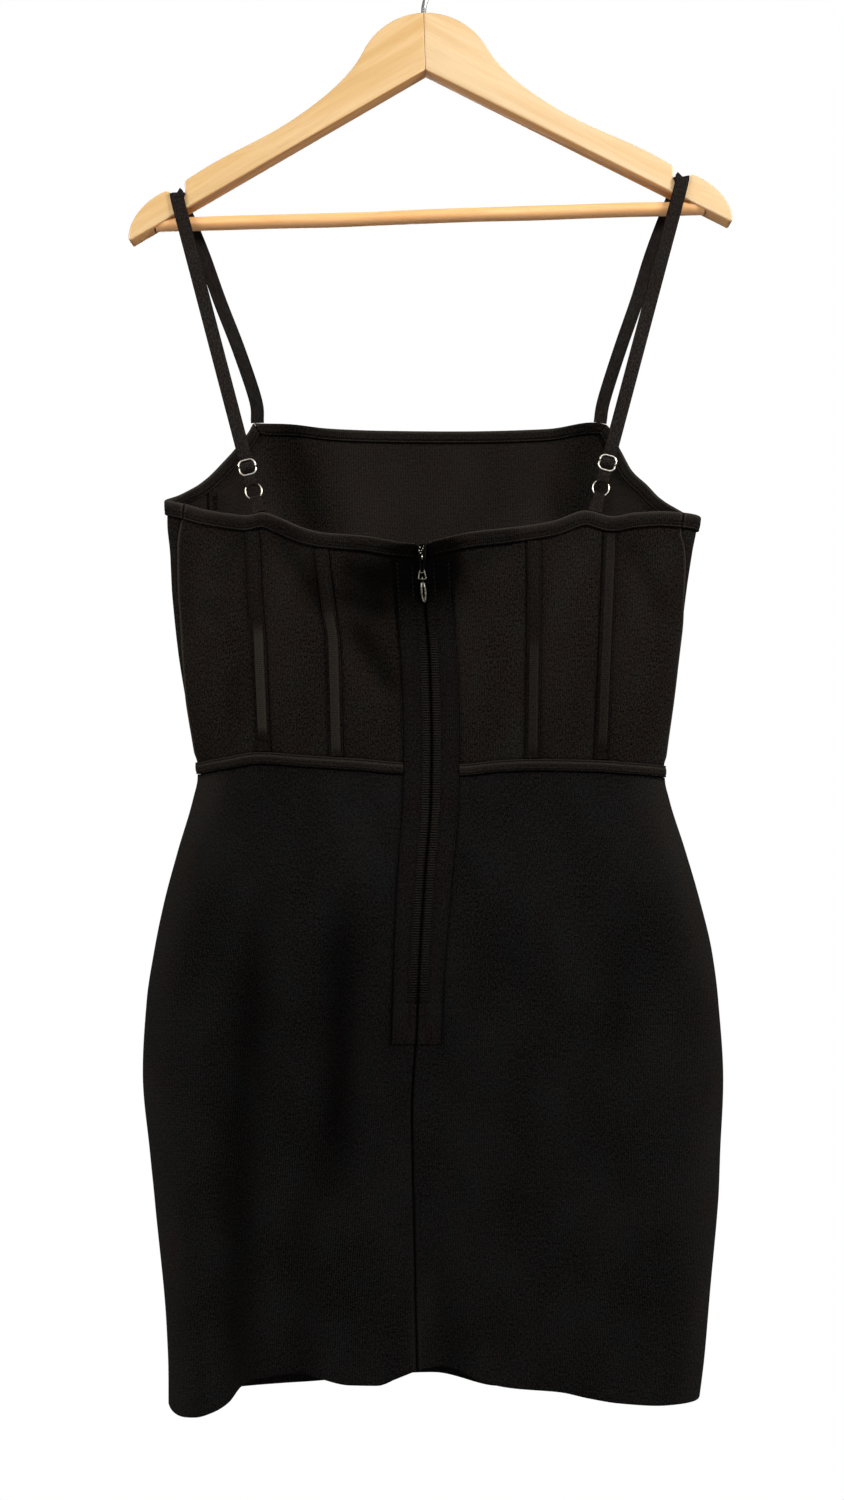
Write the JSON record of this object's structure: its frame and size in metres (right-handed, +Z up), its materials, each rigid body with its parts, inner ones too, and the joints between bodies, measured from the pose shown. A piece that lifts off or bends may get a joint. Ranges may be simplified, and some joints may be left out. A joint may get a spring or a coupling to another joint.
{
  "type": "bodycon dress on a wooden hanger",
  "caption": "Fitted sleeveless mini dress in heavy knit with a zipped back and adjustable straps, hanging flat from the notches of a wooden hanger.",
  "frame": {"origin": "the highest point inside the hanger's hook, where a rail bears", "axes": "+Z up, +Y from the zipped back of the dress to its front, +X to the right of someone who looks at the back"},
  "size_m": [0.4455, 0.0714, 1.0972],
  "materials": {
    "knit": "dense black double knit, matt, with a fine heathered face",
    "trim": "self-fabric bindings, channels and plackets, topstitched",
    "zip_tape": "woven zip tape with coil teeth",
    "strap": "flat elastic strap with a ribbed satin face",
    "silver": "bright plated wire and casting",
    "gunmetal": "dark plated zip hardware, worn bright on its edges",
    "wood": "pale varnished wood",
    "bar_wood": "redder varnished dowel",
    "hook_steel": "plated steel wire"
  },
  "bodies": {
    "dress_on_hanger": {"bodice_side_right": "knit", "bodice_back_side_right": "knit", "bodice_back_middle_right": "knit", "bodice_back_centre_right": "knit", "bodice_back_centre_left": "knit", "bodice_back_middle_left": "knit", "bodice_back_side_left": "knit", "bodice_side_left": "knit", "bodice_front": "knit", "skirt_back_right": "knit", "skirt_back_left": "knit", "skirt_front": "knit", "neck_band_back_right": "trim", "neck_band_back_left": "trim", "armhole_band_left": "trim", "neck_band_front": "trim", "armhole_band_right": "trim", "waist_band_back_right": "trim", "waist_band_back_left": "trim", "waist_band_front": "trim", "bone_channel_outer_right": "trim", "bone_channel_inner_right": "trim", "bone_channel_inner_left": "trim", "bone_channel_outer_left": "trim", "placket_right": "trim", "placket_left": "trim", "zip_tape_right": "zip_tape", "zip_tape_left": "zip_tape", "zip_slider": "gunmetal", "strap_left": "strap", "strap_right": "strap", "strap_tab_left": "strap", "strap_tab_right": "strap", "strap_ring_left": "silver", "strap_ring_right": "silver", "strap_adjuster_left": "silver", "strap_adjuster_right": "silver", "hanger_arm_left": "wood", "hanger_arm_right": "wood", "hanger_bar": "bar_wood", "hanger_hook": "hook_steel"},
    "zip_pull": {"zip_pull": "gunmetal"}
  },
  "joints": [
    {"name": "zip_pull_swing", "type": "hinge", "parent": "dress_on_hanger", "child": "zip_pull", "pos_m": [0.00074, -0.02952, -0.46751], "axis": [-1, 0, 0], "range_deg": [0, 150]}
  ]
}
